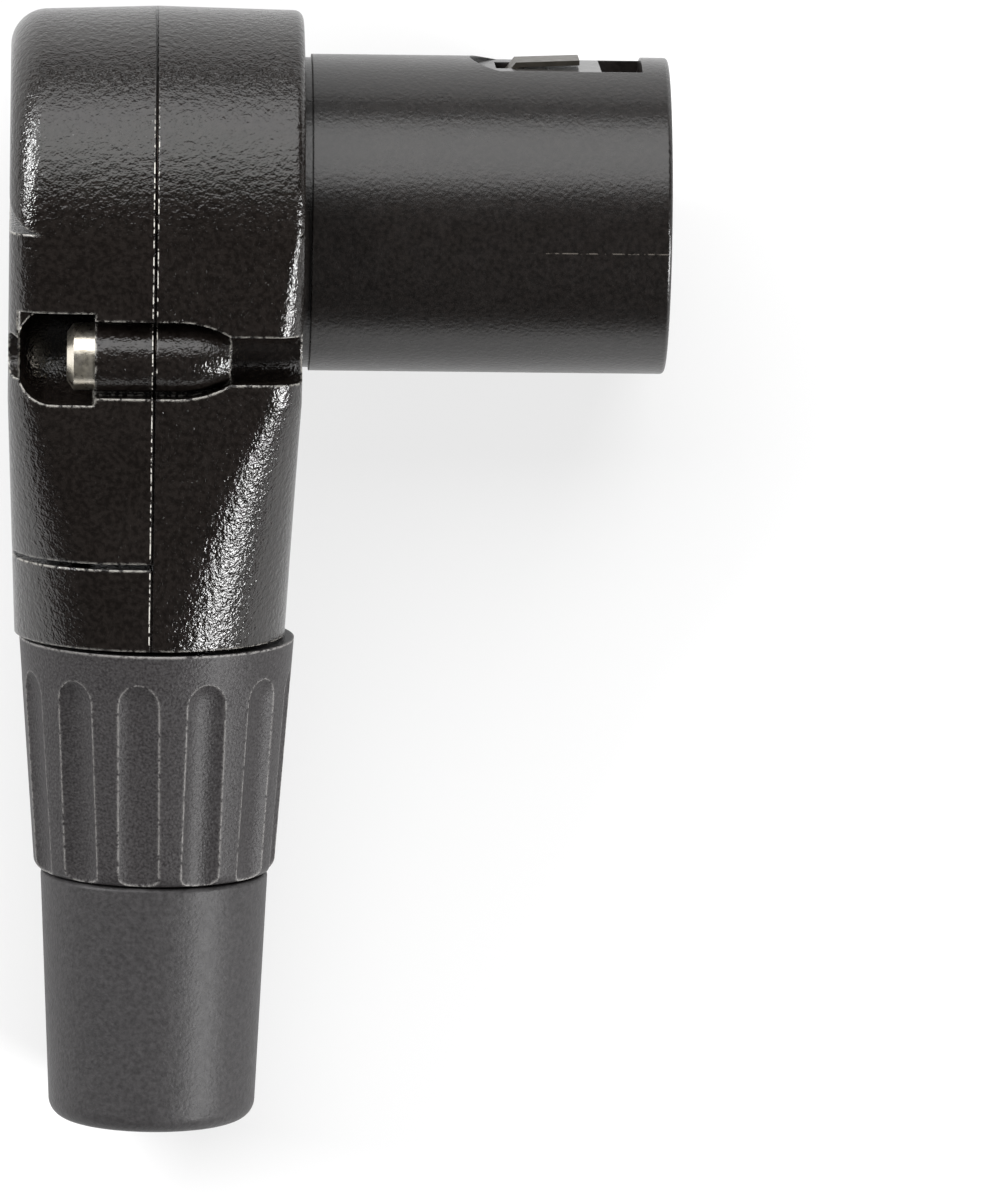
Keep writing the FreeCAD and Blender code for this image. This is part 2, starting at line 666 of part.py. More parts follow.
# Rear cover: the other die casting, which the two screws hold to the front housing
def rear_cover():
    body = new_body("rear_cover")
    sketch = sketch_on(body, "HeadProfile", "XY_Plane")
    head_profile(sketch, "rear", "0")
    turned(body, "Revolution", "Head", sketch, upper_half=True)
    rounded(body, "HeadEdge", ring_edge("x", -size("rear_face"), far_radius("rear")), "rear_edge")
    neck(body, "rear", "AdditiveLoft", DROPS[:5], REAR_CORNERS[:5], "")
    sketch = sketch_on(body, "ChamberProfile", "XY_Plane")
    head_profile(sketch, "rear", "wall")
    turned(body, "Groove", "Chamber", sketch, upper_half=True)
    neck(body, "rear", "SubtractiveLoft", DROPS[:5], REAR_CORNERS[:5], "wall")
    pillar = screw_pillar(body, "Pillar", PARTING, "screw_seat + pillar_wall", PILLAR, True)
    mirrored(body, "PillarOther", pillar, False)
    start = "-parting - screw_seat + pillar_wall"
    reach = "rear_face - wall + rib_root " + start
    pocket_wall = screw_pillar(body, "PocketWall", start, reach, "pocket_half + pillar_wall", True)
    mirrored(body, "PocketWallOther", pocket_wall, False)
    sketch = sketch_on(body, "PocketProfile", "XY_Plane", ("0", "-screw_drop", "screw_side"))
    outline(sketch, [
        (SEAT, "0"), (SEAT, "pocket_half"),
        ("pocket_wall - rear_face + pocket_round", "pocket_half", "pocket_round"),
        ("pocket_wall - rear_face", "pocket_half - pocket_round"),
        ("pocket_wall - rear_face", "0"),
    ])
    floor = turned(body, "Groove", "PocketFloor", sketch)
    mirrored(body, "PocketFloorOther", floor, True)
    sketch = sketch_on(body, "PocketSketch", "XY_Plane", ("0", "-screw_drop", "screw_side"))
    outline(sketch, [
        (SEAT, "pocket_half"), ("pocket_wall - rear_face", "pocket_half"),
        ("pocket_wall - rear_face", "pocket_round - pocket_half", "pocket_round"),
        ("pocket_wall - rear_face + pocket_round", "-pocket_half"), (SEAT, "-pocket_half"),
    ])
    seat = pocket(body, "HeadPocket", sketch, "head_radius", reverse=True)
    mirrored(body, "HeadPocketOther", seat, True)
    sketch = sketch_on(body, "ChannelSketch", "XY_Plane", ("0", "-screw_drop", "screw_side"))
    box(sketch, SEAT, PARTING, "-channel_half", "channel_half")
    channel = pocket(body, "Channel", sketch, "head_radius", reverse=True)
    mirrored(body, "ChannelOther", channel, True)
    sketch = sketch_on(body, "BossSketch", "YZ_Plane", ("-screw_drop", "screw_side", PARTING))
    circle(sketch, "0", "0", "boss_radius")
    boss = pad(body, "Boss", sketch, "screw_seat", reverse=True)
    mirrored(body, "BossOther", boss, False)
    sketch = sketch_on(body, "ScrewHoleSketch", "YZ_Plane", ("-screw_drop", "screw_side", PARTING))
    circle(sketch, "0", "0", "screw_radius + screw_clearance")
    # The hole runs on through the pocket's rear wall, which lets the screwdriver in
    hole = pocket(body, "ScrewHole", sketch)
    mirrored(body, "ScrewHoleOther", hole, True)
    root = "-rear_face + wall - rib_root"
    reach = "%s - shoulder_thickness - (%s)" % (FLANGE_REAR, root)
    for name, angle in (("First", "rib_first_angle"), ("Second", "rib_second_angle")):
        sketch = sketch_on(body, name + "RibSketch", "YZ_Plane", ("0", "0", root), size(angle))
        box(sketch, "rib_inner", "rib_outer", "-rib_thickness / 2", "rib_thickness / 2")
        rib = pad(body, name + "Rib", sketch, reach)
        mirrored(body, name + "RibOther", rib, False)
    outer = "hook_bore - hook_clearance"
    inner = "hook_bore - hook_clearance - hook_wall"
    hook_web(body, "HookRoot", "rear_face - wall + rib_root", inner, "wall")
    hook_web(body, "Hook", outer, inner, "wall + cover_gap + hook_reach")
    return body


def hook_web(body, name, outer, inner, length):
    """A bowed web about the cable's axis, from inside the cover's end wall downwards."""
    sketch = sketch_on(body, name + "Sketch", "XZ_Plane", ("0", "0", "cover_end - wall"))
    far, near = ("-sqrt((%s) * (%s) - hook_half * hook_half)" % (reach, reach) for reach in (outer, inner))
    outline(sketch, [
        (far, "-hook_half", "-" + outer), (far, "hook_half"),
        (near, "hook_half", inner), (near, "-hook_half"),
    ])
    return pad(body, name, sketch, length)


# Male shell: the barrel, with the flange that the front housing's wall holds back
def male_shell():
    body = new_body("male_shell")
    sketch = sketch_on(body, "Profile", "XY_Plane")
    outline(sketch, [
        (FLANGE_REAR, "shell_bore"), ("mouth_face", "shell_bore"), ("mouth_face", "shell_radius"),
        ("front_face + relief_end", "shell_radius"), ("front_face + relief_end", "shell_neck"),
        (INNER_FRONT, "shell_neck"), (INNER_FRONT, "flange_radius"), (FLANGE_REAR, "flange_radius"),
    ])
    turned(body, "Revolution", "Barrel", sketch)
    mouth = size("mouth_face")
    rounded(body, "MouthEdge", ring_edge("x", mouth, size("shell_radius")), "mouth_edge")
    rounded(body, "MouthLeadIn", ring_edge("x", mouth, size("shell_bore")), "mouth_edge", "Chamfer")
    sketch = sketch_on(body, "NotchSketch", "YZ_Plane", ("-screw_drop", "screw_side", FLANGE_REAR))
    circle(sketch, "0", "0", "groove_half + pillar_wall + notch_clearance")
    notch = pocket(body, "Notch", sketch, "flange_thickness", reverse=True)
    mirrored(body, "NotchOther", notch, True)
    sketch = sketch_on(body, "FlatSketch", "XZ_Plane", ("0", "0", "-flat_height"))
    half = "(sqrt(shell_radius * shell_radius - flat_height * flat_height) + overcut / 2)"
    outline(sketch, [
        ("window_front", "-" + half),
        ("window_front", half),
        ("flat_start + %s" % half, half, "%s * %s" % (half, HALF_ROUND)),
        ("flat_start + %s" % half, "-" + half),
    ])
    pocket(body, "Flat", sketch)
    sketch = sketch_on(body, "WindowSketch", "XZ_Plane", ("0", "0", "-shell_radius - overcut"))
    box(sketch, "window_front - window_length", "window_front", "-window_half", "window_half")
    box(sketch, "strip_slot_start", "strip_slot_start + strip_slot_length",
        "-strip_half - strip_side_clearance", "strip_half + strip_side_clearance")
    pocket(body, "Windows", sketch, "shell_radius + overcut", reverse=True)
    return body


# Contact insert: moulded block that fills the back of the shell and holds the pins
PIN_PLACES = {
    "pin_1": ("pin_rise", "pin_side"),
    "pin_2": ("pin_rise", "-pin_side"),
    "pin_3": ("-pin_low", "0"),
}


def contact_insert():
    body = new_body("contact_insert")
    shoulder = "%s - shoulder_thickness" % FLANGE_REAR
    barrel = "shell_bore - insert_clearance"
    sketch = sketch_on(body, "Profile", "XY_Plane")
    outline(sketch, [
        ("insert_rear", "0"), ("insert_front", "0"), ("insert_front", barrel), (FLANGE_REAR, barrel),
        (FLANGE_REAR, "shoulder_radius"), (shoulder, "shoulder_radius"), (shoulder, "insert_boss_radius"),
        ("insert_rear", "insert_boss_radius"),
    ])
    turned(body, "Revolution", "Block", sketch)
    sketch = sketch_on(body, "KeySketch", "YZ_Plane", ("0", "0", "insert_front"))
    box(sketch, "strip_rest - key_depth", "strip_rest", "-key_half", "key_half")
    pad(body, "Key", sketch, "key_length")
    sketch = sketch_on(body, "StripTrack", "YZ_Plane", ("0", "0", "insert_rear"))
    box(sketch, "strip_rest", "shell_radius", "-strip_half - strip_side_clearance",
        "strip_half + strip_side_clearance")
    pocket(body, "Track", sketch, reverse=True)
    sketch = sketch_on(body, "PinHoles", "YZ_Plane", ("0", "0", "insert_rear"))
    for across, along in PIN_PLACES.values():
        circle(sketch, across, along, "pin_shank + pin_fit")
    pocket(body, "Holes", sketch, reverse=True)
    return body


# Contact pins: turned brass, each with a thicker shank in the block, a collar behind it and a
# cup for the wire
def contact_pin(name, across, along):
    body = new_body(name)
    tip = "mouth_face - tip_recess"
    nose_chord = "sqrt(tip_nose * tip_nose + (pin_radius - tip_face) * (pin_radius - tip_face))"
    collar = "insert_rear - pin_collar_length"
    end = "%s - cup_length" % collar
    sketch = sketch_on(body, "Profile", "XY_Plane", ("0", across, along))
    outline(sketch, [
        ("%s + cup_depth" % end, "0"), (tip, "0"),
        (tip, "tip_face", "tip_sweep * %s" % nose_chord),
        ("%s - tip_nose" % tip, "pin_radius"), ("insert_front", "pin_radius"),
        ("insert_front", "pin_shank"), ("insert_rear", "pin_shank"),
        ("insert_rear", "pin_collar_radius"), (collar, "pin_collar_radius"), (collar, "cup_radius"),
        (end, "cup_radius"), (end, "cup_bore"), ("%s + cup_depth" % end, "cup_bore"),
    ])
    turned(body, "Revolution", "Pin", sketch)
    sketch = sketch_on(body, "OpeningSketch", "XY_Plane", ("0", across, along))
    box(sketch, "%s - overcut" % end, "%s + cup_opening" % end, "cup_lip", "2 * cup_radius")
    pocket(body, "Opening", sketch, "4 * cup_radius", both=True)
    return body


# Earth strip: bent sheet brass, from a solder tail to a sprung leaf in the shell's flat
def earth_strip():
    body = new_body("earth_strip")
    sketch = sketch_on(body, "Profile", "XY_Plane")
    top = "strip_rest + strip_thickness"
    outline(sketch, [
        ("-strip_tail", "strip_rest"),
        ("strip_bend", "strip_rest"),
        ("strip_bend + strip_bend_length", "strip_rise"),
        ("strip_tip", "strip_rise + strip_lift"),
        ("strip_tip", "strip_rise + strip_lift + strip_thickness"),
        ("strip_bend + strip_bend_length - strip_lap", "strip_rise + strip_thickness"),
        ("strip_bend - strip_lap", top),
        ("-strip_tail", top),
    ])
    pad(body, "Strip", sketch, "2 * strip_half", both=True)
    return body


# Cable clamp: moulded sleeve whose four jaws close as the collar pushes it into its seat
def cable_chuck():
    body = new_body("cable_chuck")
    sleeve = "spigot_bore - chuck_clearance"
    sketch = sketch_on(body, "Profile", "XY_Plane")
    outline(sketch, [
        ("chuck_bore", "-chuck_top"), ("chuck_bore", "-(%s)" % CHUCK_FOOT),
        ("chuck_flange_radius", "-(%s)" % CHUCK_FOOT), ("chuck_flange_radius", "-spigot_end"),
        (sleeve, "-spigot_end"), (sleeve, "-chuck_shoulder"), ("chuck_nose", "-chuck_top"),
    ])
    turned(body, "Revolution", "Sleeve", sketch, "V_Axis")
    sketch = sketch_on(body, "ToothProfile", "XY_Plane")
    first = "-chuck_shoulder - jaw_teeth * jaw_tooth"
    outline(sketch, [
        ("chuck_bore - jaw_tooth", "%s - 2 * jaw_tooth" % first), ("chuck_bore + jaw_tooth", first),
        ("chuck_bore - jaw_tooth", first),
    ])
    tooth = turned(body, "Groove", "Tooth", sketch, "V_Axis")
    in_line(body, "Teeth", tooth, (sketch, ["V_Axis"]), "jaw_tooth_pitch", "jaw_teeth", True)
    sketch = sketch_on(body, "SlotSketch", "XY_Plane")
    box(sketch, "-jaw_slot_half", "jaw_slot_half", "-jaw_slot_end", "-chuck_top + overcut")
    slot = pocket(body, "Slot", sketch, "4 * spigot_bore", both=True)
    polar(body, "Slots", slot, "Y_Axis", 90, "2", True)
    return body


# Clamping collar: fluted moulded nut on the spigot's thread
def clamp_collar():
    body = new_body("clamp_collar")
    rim = "-collar_end - collar_gap"
    thread = "spigot_radius + thread_clearance"
    neck = "boot_neck_radius + boot_running"
    sketch = sketch_on(body, "Profile", "XY_Plane")
    outline(sketch, [
        (thread, rim), (thread, "-collar_floor"), (neck, "-collar_floor"), (neck, "-foot_face"),
        ("foot_radius", "-foot_face"), ("rim_radius", rim),
    ])
    turned(body, "Revolution", "Nut", sketch, "V_Axis")
    rounded(body, "FootEdge", ring_edge("y", -size("foot_face"), size("foot_radius")), "foot_edge")
    fall = size("foot_face") - size("collar_end") - size("collar_gap")
    lean = math.atan2(size("rim_radius") - size("foot_radius"), fall)
    shift = ("rim_radius + flute_radius - flute_depth", rim, "0")
    sketch = sketch_on(body, "FluteProfile", "XY_Plane", shift, -math.degrees(lean))
    outline(sketch, [
        ("0", "-foot_face"), ("0", "-flute_lead", "-flute_radius"),
        ("flute_radius", "-flute_lead - flute_radius"), ("flute_radius", "-foot_face"),
    ])
    flute = turned(body, "Groove", "Flute", sketch, "V_Axis")
    polar(body, "Flutes", flute, "Y_Axis", 360, "flute_count", True)
    return body


# Boot: rubber sleeve that the collar traps by a flange and that the cable runs through
def cable_boot():
    body = new_body("cable_boot")
    flange_end = "%s + boot_flange" % BOOT_FLANGE_TOP
    shoulder = "foot_face + boot_gap"
    sketch = sketch_on(body, "Profile", "XY_Plane")
    outline(sketch, [
        ("cable_hole", "-(%s)" % BOOT_FLANGE_TOP), ("cable_hole", "-boot_end"),
        ("boot_end_radius", "-boot_end"), ("boot_top_radius", "-(%s)" % shoulder),
        ("boot_neck_radius", "-(%s)" % shoulder), ("boot_neck_radius", "-(%s)" % flange_end),
        ("boot_flange_radius", "-(%s)" % flange_end), ("boot_flange_radius", "-(%s)" % BOOT_FLANGE_TOP),
    ])
    turned(body, "Revolution", "Sleeve", sketch, "V_Axis")
    top = -(size("foot_face") + size("boot_gap"))
    rounded(body, "TopEdge", ring_edge("y", top, size("boot_top_radius")), "boot_top_edge")
    rounded(body, "EndEdge", ring_edge("y", -size("boot_end"), size("boot_end_radius")), "boot_end_edge")
    rounded(body, "HoleEdge", ring_edge("y", -size("boot_end"), size("cable_hole")), "cable_lead_in")
    return body


# Cover screws: cheese-head screws with a cross recess
def cover_screw(name, side):
    body = new_body(name)
    top = "%s - screw_head_height" % SEAT
    sketch = sketch_on(body, "Profile", "XY_Plane", ("0", "-screw_drop", side + "screw_side"))
    outline(sketch, [
        ("%s + screw_length" % SEAT, "0"), ("%s + screw_length" % SEAT, "screw_core"),
        ("%s + screw_length - screw_lead" % SEAT, "screw_radius"), (SEAT, "screw_radius"),
        (SEAT, "screw_head_radius"), ("%s + screw_dome" % top, "screw_head_radius"),
        (top, "screw_crown"), (top, "0"),
    ])
    turned(body, "Revolution", "Screw", sketch)
    sketch = sketch_on(body, "RecessSketch", "YZ_Plane", ("-screw_drop", side + "screw_side", top))
    arms = []
    for turn in range(4):
        sign_x, sign_y = [("", ""), ("-", ""), ("-", "-"), ("", "-")][turn]
        long_first = [
            ("recess_reach", "recess_half"),
            ("recess_half", "recess_half"),
            ("recess_half", "recess_reach"),
        ]
        quarter = long_first if turn % 2 == 0 else long_first[::-1]
        arms += [(sign_x + across, sign_y + along) for across, along in quarter]
    outline(sketch, arms)
    pocket(body, "Recess", sketch, "recess_depth", reverse=True)
    return body


pieces = [
    front_housing(),
    rear_cover(),
    male_shell(),
    contact_insert(),
    *[contact_pin(name, *place) for name, place in PIN_PLACES.items()],
    earth_strip(),
    cable_chuck(),
    clamp_collar(),
    cable_boot(),
    cover_screw("cover_screw_upper", ""),
    cover_screw("cover_screw_lower", "-"),
]


# How the plug comes to rest
def resting_rotation():
    """The plug lies on the leaning flank of the head's front half and on the boot's round end.
    The down direction leans by the draft, and by the drop from the head to the boot."""
    draft = math.radians(size("front_draft"))
    ring = size("boot_end_radius") - size("boot_end_edge")
    arm = size("boot_end") - size("boot_end_edge")
    cone = (size("head_radius") - size("parting") * math.tan(draft)) * math.cos(draft)
    reach = (cone - size("boot_end_edge")) / math.hypot(arm, ring)
    dip = math.asin(reach) - math.atan2(ring, arm)
    up = Vector(-math.sin(draft), math.sin(dip), 0)
    up.z = math.sqrt(1 - up.x ** 2 - up.y ** 2)
    along = Vector(1, 0, 0) - up * up.x
    along.normalize()
    return Rotation(along, up.cross(along), up, "ZXY").inverted()


rest = Placement(Vector(0, 0, 0), resting_rotation())
for piece in pieces:
    piece.Placement = rest
document.recompute()
whole = Part.makeCompound([piece.Shape for piece in pieces])
bound = whole.optimalBoundingBox(False)
rest.Base = Vector(-bound.Center.x, -bound.Center.y, -bound.ZMin)
turn_of_collar = Placement(Vector(0, 0, 0), Rotation(Vector(0, 1, 0), size("collar_turn")))
for piece in pieces:
    piece.Placement = rest.multiply(turn_of_collar) if piece.Label == "clamp_collar" else rest
document.recompute()

# Checks, then one file for each piece
for thing in document.Objects:
    if any(state in thing.State for state in ("Invalid", "Error")):
        raise RuntimeError("%s is %s" % (thing.Label, thing.State))
for piece in pieces:
    if piece.Shape.isNull() or not piece.Shape.isValid() or len(piece.Shape.Solids) != 1:
        raise RuntimeError("%s is not one valid solid" % piece.Label)
os.makedirs("parts", exist_ok=True)
for piece in pieces:
    piece.Shape.exportStep("parts/%s.step" % piece.Label)
    box_size = piece.Shape.BoundBox
    print("%-18s %9.2f mm3  %6.2f x %6.2f x %6.2f mm" % (
        piece.Label, piece.Shape.Volume, box_size.XLength, box_size.YLength, box_size.ZLength))
print("placed at", rest)
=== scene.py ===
# Right-angle three-pin plug for a microphone lead, lying on its side on a white table

import json
import math

import bmesh
import bpy
from mathutils import Matrix, Vector


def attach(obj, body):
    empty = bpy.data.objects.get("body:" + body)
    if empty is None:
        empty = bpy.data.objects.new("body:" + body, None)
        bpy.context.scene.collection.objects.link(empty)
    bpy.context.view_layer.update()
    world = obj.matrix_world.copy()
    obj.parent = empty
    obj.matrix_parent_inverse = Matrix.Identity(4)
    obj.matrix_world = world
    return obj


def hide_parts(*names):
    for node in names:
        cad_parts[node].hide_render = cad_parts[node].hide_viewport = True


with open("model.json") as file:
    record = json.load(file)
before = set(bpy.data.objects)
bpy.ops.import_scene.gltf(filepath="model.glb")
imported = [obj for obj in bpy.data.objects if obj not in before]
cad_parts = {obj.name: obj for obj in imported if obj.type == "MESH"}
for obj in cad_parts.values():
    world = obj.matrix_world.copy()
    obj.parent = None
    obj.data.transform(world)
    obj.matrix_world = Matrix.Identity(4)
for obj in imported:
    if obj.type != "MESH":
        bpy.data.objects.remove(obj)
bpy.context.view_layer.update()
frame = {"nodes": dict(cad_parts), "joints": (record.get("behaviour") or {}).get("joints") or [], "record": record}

# Camera: high above the side that faces up, a little towards the head's top. Its place and
# turn are given along the plug's own axes, as the source has them: the barrel's, the cable's
# and the side that faces up. They cross in the middle of the head, the plug's heart.
mm = 0.001
barrel_middle = 19.5
camera_place = Vector((-7.651, 98.214, 758.538))
swing, nod, roll = math.radians(-2.122), math.radians(-9.108), math.radians(0.893)
lens, film_width = 462.2, 36

barrel_mount = frame["record"]["mounts"][0]
barrel_line = Vector(barrel_mount["axis"])
cable_line = -Vector(frame["joints"][0]["axis"])
side_line = barrel_line.cross(cable_line)
plug_axes = Matrix((barrel_line, cable_line, side_line)).transposed()
heart = Vector(barrel_mount["pos_m"]) - barrel_middle * mm * barrel_line


def add(name, data):
    """An object of the scene with the given mesh, camera or lamp."""
    made = bpy.data.objects.new(name, data)
    bpy.context.scene.collection.objects.link(made)
    return made


camera = add("Camera", bpy.data.cameras.new("Camera"))
camera.data.lens = lens
camera.data.sensor_width = film_width
camera.data.sensor_fit = "HORIZONTAL"
camera.data.clip_start = 0.05
camera.data.clip_end = 20
turn = Matrix.Rotation(swing, 3, "Y") @ Matrix.Rotation(nod, 3, "X")
turn = turn @ Matrix.Rotation(roll, 3, "Z")
place = heart + plug_axes @ camera_place * mm
camera.matrix_world = Matrix.Translation(place) @ (plug_axes @ turn).to_4x4()
bpy.context.scene.camera = camera

# Table: a white sheet under the plug, which takes its soft shadow. It glows a little to the
# camera and in the plug's gloss, so that it is pale without more light on the plug.
sheet_reach = 3.0
sheet_white = 0.67
glow_seen, glow_mirrored = 0.48, 0.35


def node(material, kind, settings=None, sockets=None):
    """One more node of a material: its settings first, then its sockets' values or links."""
    made = material.node_tree.nodes.new(kind)
    for name, setting in (settings or {}).items():
        setattr(made, name, setting)
    for name, given in (sockets or {}).items():
        if isinstance(given, Signal):
            given = given.output
        if isinstance(given, bpy.types.NodeSocket):
            material.node_tree.links.new(given, made.inputs[name])
        else:
            made.inputs[name].default_value = given
    return made


class Signal:
    """What one output of a node gives over a surface. Sums on it add Math nodes."""

    def __init__(self, material, output):
        self.material = material
        self.output = output

    def math(self, operation, *values, clamp=False):
        made = node(self.material, "ShaderNodeMath", {"operation": operation, "use_clamp": clamp},
                    dict(enumerate(values)))
        return Signal(self.material, made.outputs[0])

    def __add__(self, other):
        return self.math("ADD", self, other)

    def __sub__(self, other):
        return self.math("SUBTRACT", self, other)

    def __rsub__(self, other):
        return self.math("SUBTRACT", other, self)

    def __mul__(self, other):
        return self.math("MULTIPLY", self, other)

    def __truediv__(self, other):
        return self.math("DIVIDE", self, other)

    __radd__ = __add__
    __rmul__ = __mul__

    def size(self):
        return self.math("ABSOLUTE", self)

    def clamped(self):
        return self.math("ADD", self, 0.0, clamp=True)

    def ridge(self, place, half_width):
        """1 at a place, falling to 0 half a width away on both sides."""
        return (1 - (self - place).size() / half_width).clamped()

    def step(self, low, high):
        """0 below low, 1 above high, and a smooth rise between them."""
        made = node(self.material, "ShaderNodeMapRange", {"interpolation_type": "SMOOTHSTEP"},
                    {"Value": self, "From Min": low, "From Max": high})
        return Signal(self.material, made.outputs["Result"])


def bare_material(name):
    made = bpy.data.materials.new(name)
    made.use_nodes = True
    made.node_tree.nodes.clear()
    return made


sheet = bmesh.new()
bmesh.ops.create_grid(sheet, x_segments=1, y_segments=1, size=sheet_reach)
table = add("table", bpy.data.meshes.new("table"))
sheet.to_mesh(table.data)
sheet.free()
white = bare_material("white sheet")
rays = node(white, "ShaderNodeLightPath")
seen = Signal(white, rays.outputs["Is Camera Ray"])
mirrored = Signal(white, rays.outputs["Is Glossy Ray"])
paper = node(white, "ShaderNodeBsdfDiffuse", None,
             {"Color": (sheet_white, sheet_white, sheet_white, 1)})
glow = node(white, "ShaderNodeEmission", None, {"Color": (1, 1, 1, 1), "Strength": 1.0})
mixed = node(white, "ShaderNodeMixShader", None,
             {0: seen * glow_seen + mirrored * glow_mirrored,
              1: paper.outputs[0], 2: glow.outputs[0]})
node(white, "ShaderNodeOutputMaterial", None, {"Surface": mixed.outputs[0]})
table.data.materials.append(white)

# Studio light: a wide soft box behind the head's top and two low ones at the left and the
# right, in a room with a faint even light. The gloss of the black paint comes from them.
room_light = 0.06
world = bpy.data.worlds.new("studio")
world.use_nodes = True
room = world.node_tree.nodes["Background"]
room.inputs["Color"].default_value = (1, 1, 1, 1)
room.inputs["Strength"].default_value = room_light
bpy.context.scene.world = world


def soft_box(name, tilt, compass, distance, width, height, power):
    """A lamp that faces the plug. Tilt is down from straight overhead, towards a compass
    bearing that runs from the barrel's direction round to the head's top."""
    lamp = add(name, bpy.data.lights.new(name, "AREA"))
    lamp.data.shape = "RECTANGLE"
    lamp.data.size = width
    lamp.data.size_y = height
    lamp.data.energy = power
    lean, bearing = math.radians(tilt), math.radians(compass)
    level = math.sin(lean)
    way = Vector((level * math.cos(bearing), level * math.sin(bearing), math.cos(lean)))
    lamp.location = way * distance
    lamp.rotation_euler = way.to_track_quat("Z", "Y").to_euler()


soft_box("back lamp", tilt=47, compass=94, distance=0.9, width=1.1, height=0.84, power=10)
soft_box("left lamp", tilt=60, compass=155, distance=0.9, width=0.6, height=0.16, power=13)
soft_box("right lamp", tilt=60, compass=-26, distance=0.9, width=0.6, height=0.18, power=15)

# Die-cast housing and cover: zinc under satin black paint with a fine orange peel. They meet
# on a plane through the middle of the head, held by two screws, and leave a thin dark line
# with light dashes beside it, partly rubbed zinc and partly painted glints. Sharp edges get
# painted highlights. The spigot below the ring is cut with the collar's thread.
dark_paint, light_paint = (0.0022, 0.0015, 0.0012), (0.0105, 0.0084, 0.0074)
# Grey of the light seam dashes and edge marks: painted glints and highlights, with some rubbed zinc in the dashes.
zinc_and_highlight = (0.5, 0.48, 0.44)
parting, parting_gap = -0.4, 0.1
edge_off_parting, dash_width = 0.13, 0.045
seam_dashes_start, seam_dashes_grow, right_dashes_end = 9.5, 7.0, -8.5
seam_wear_and_glints, rim_highlight = 1.4, 0.65
thread_start, thread_pitch, thread_depth = -25.9, 1.5, 0.3
peel_depth = 0.1


class Finish:
    """A material whose patterns follow the object's own coordinates. All its lengths are in
    millimetres."""

    bevel_samples = 6

    def __init__(self, name, **constants):
        self.material = bare_material(name)
        self.shader = node(self.material, "ShaderNodeBsdfPrincipled", None, constants)
        node(self.material, "ShaderNodeOutputMaterial", None, {"Surface": self.shader.outputs[0]})
        self.place = node(self.material, "ShaderNodeTexCoord").outputs["Object"]

    def feed(self, socket, given):
        """Links what varies over the surface to a socket of the shader."""
        if isinstance(given, Signal):
            given = given.output
        self.material.node_tree.links.new(given, self.shader.inputs[socket])

    def vector_math(self, operation, first, second):
        return node(self.material, "ShaderNodeVectorMath", {"operation": operation},
                    {0: first, 1: second})

    def along(self, line):
        """The distance from the plug's heart along one of its axes."""
        moved = self.vector_math("SUBTRACT", self.place, heart)
        measured = self.vector_math("DOT_PRODUCT", moved.outputs[0], line / mm)
        return Signal(self.material, measured.outputs["Value"])

    def noise(self, grain, detail=2.0, roughness=0.5):
        """Noise whose lumps are about one grain across."""
        made = node(self.material, "ShaderNodeTexNoise", None,
                    {"Vector": self.place, "Scale": 1 / (grain * mm), "Detail": detail,
                     "Roughness": roughness})
        return Signal(self.material, made.outputs["Fac"])

    def rounded(self, reach):
        """The surface's direction, as if the edges within reach of it were rounded."""
        made = node(self.material, "ShaderNodeBevel", {"samples": self.bevel_samples},
                    {"Radius": reach * mm})
        return made.outputs[0]

    def edges(self, reach):
        """0 on open surfaces, and more towards an edge that is within reach."""
        true = node(self.material, "ShaderNodeNewGeometry").outputs["Normal"]
        turned = self.vector_math("DOT_PRODUCT", self.rounded(reach), true)
        return 1 - Signal(self.material, turned.outputs["Value"])

    def blend(self, share, first, second):
        made = node(self.material, "ShaderNodeMix", {"data_type": "RGBA"},
                    {0: share, 6: first, 7: second})
        return made.outputs[2]

    def colour(self, dark, light, share, marks=None, mark=None):
        """A mix of two colours, and of a third one where there are marks."""
        shade = self.blend(share, (*dark, 1), (*light, 1))
        if marks:
            shade = self.blend(marks, shade, (*mark, 1))
        self.feed("Base Color", shade)

    def relief(self, height, depth, edge=None):
        """Bumps of the given depth where the height goes from 0 to 1, and sharp edges that
        catch the light as if they were rounded."""
        sockets = {"Strength": 1.0, "Distance": depth * mm, "Height": height}
        if edge:
            sockets["Normal"] = self.rounded(edge)
        made = node(self.material, "ShaderNodeBump", None, sockets)
        self.feed("Normal", made.outputs[0])

    def paint(self, *names):
        for name in names:
            slots = frame["nodes"][name].data.materials
            slots.clear()
            slots.append(self.material)


casting = Finish("black paint on casting", **{"Specular IOR Level": 0.5})
across, upwards = casting.along(barrel_line), casting.along(cable_line)
peel = casting.noise(0.36)
grain = casting.noise(0.13, 1.0)
patches = casting.noise(4.0, 3.0)
speckle = casting.noise(0.3)

parting_line = across.ridge(parting, parting_gap)
left_dashes = across.ridge(parting - edge_off_parting, dash_width)
left_dashes = left_dashes * casting.noise(0.34).step(0.46, 0.56)
right_dashes = across.ridge(parting + edge_off_parting, dash_width)
right_dashes = right_dashes * casting.noise(0.5).step(0.5, 0.6)
right_dashes = right_dashes * upwards.step(right_dashes_end - 0.5, right_dashes_end + 0.5)
# The light dashes beside the parting line are partly rubbed zinc and partly painted glints.
seam = (left_dashes + right_dashes) * (seam_dashes_start - upwards).step(0.0, seam_dashes_grow)
# Sharp edges get a lighter grey: painted highlights.
rims = casting.edges(0.32).step(0.03, 0.22) * speckle.step(0.4, 0.55)
rims = rims * (across - parting).size().step(0.2, 0.5)
wear_and_highlights = (seam * seam_wear_and_glints + rims * rim_highlight).clamped()

around = across.math("ARCTAN2", casting.along(side_line), across)
climb = upwards * (2 * math.pi / thread_pitch)
thread = upwards.math("SINE", climb + around) * (thread_start - upwards).step(0.0, 0.1)

